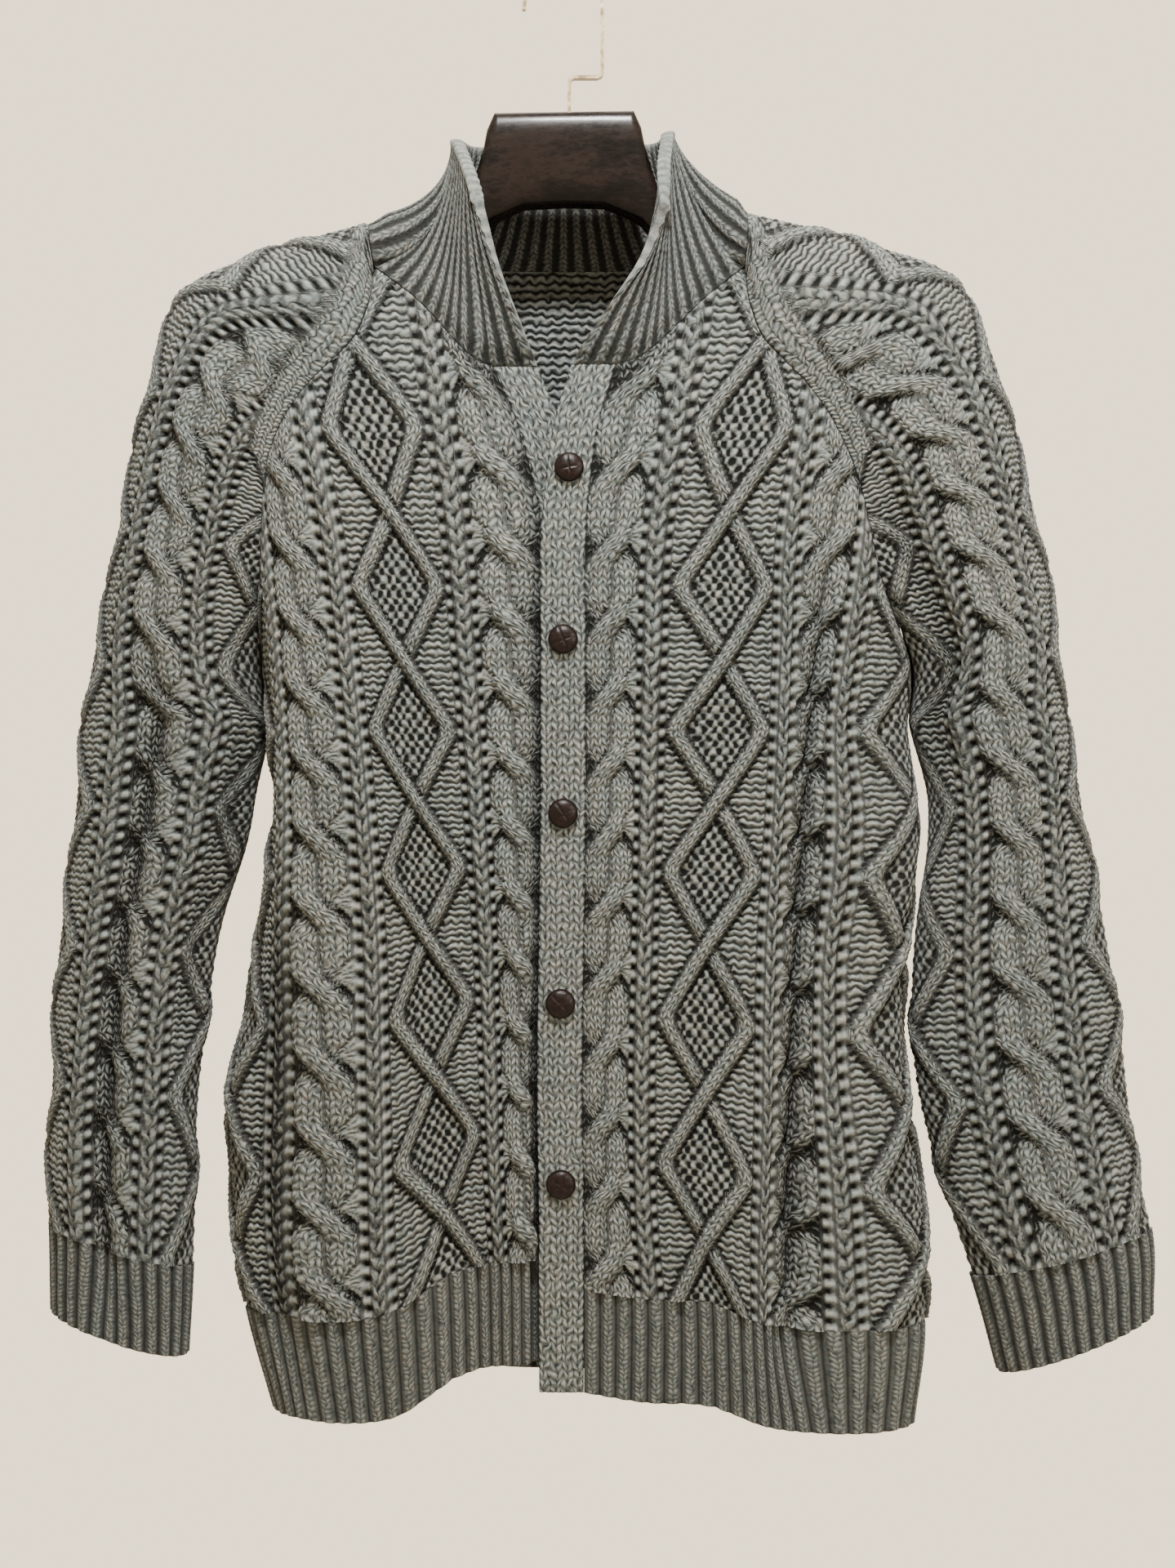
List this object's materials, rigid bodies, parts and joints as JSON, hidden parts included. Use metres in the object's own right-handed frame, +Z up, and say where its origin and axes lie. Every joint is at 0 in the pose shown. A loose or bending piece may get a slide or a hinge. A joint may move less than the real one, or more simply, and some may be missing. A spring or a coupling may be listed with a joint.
{
  "type": "cable knit cardigan on a hanger",
  "caption": "Cable knit cardigan with a ribbed stand collar, raglan sleeves and a buttoned front band, hanging on a shaped wooden hanger with a bent strip hook.",
  "frame": {"origin": "inner top of the hanger's hook, where a rail carries it", "axes": "+Z up, the garment's front faces -Y, +X is the viewer's right seen from the front"},
  "size_m": [0.6719, 0.1276, 0.896],
  "materials": {
    "panel_knit": "grey-sage cable knit, matt",
    "rib_knit": "grey-sage rib knit, matt",
    "band_knit": "grey-sage plain knit, matt",
    "button_cover": "dark brown, semi-gloss, fine cross lines",
    "hanger_wood": "dark brown, high gloss, fine grain",
    "hook_metal": "polished"
  },
  "bodies": {
    "root": {"front_left": "panel_knit", "front_right": "panel_knit", "back": "panel_knit", "sleeve_left": "panel_knit", "sleeve_right": "panel_knit", "collar": "rib_knit", "hem_left": "rib_knit", "hem_right": "rib_knit", "hem_back": "rib_knit", "cuff_left": "rib_knit", "cuff_right": "rib_knit", "button_band": "band_knit", "buttonhole_band": "band_knit", "button_1": "button_cover", "button_2": "button_cover", "button_3": "button_cover", "button_4": "button_cover", "button_5": "button_cover", "hanger_body": "hanger_wood", "hanger_hook": "hook_metal"}
  },
  "joints": []
}
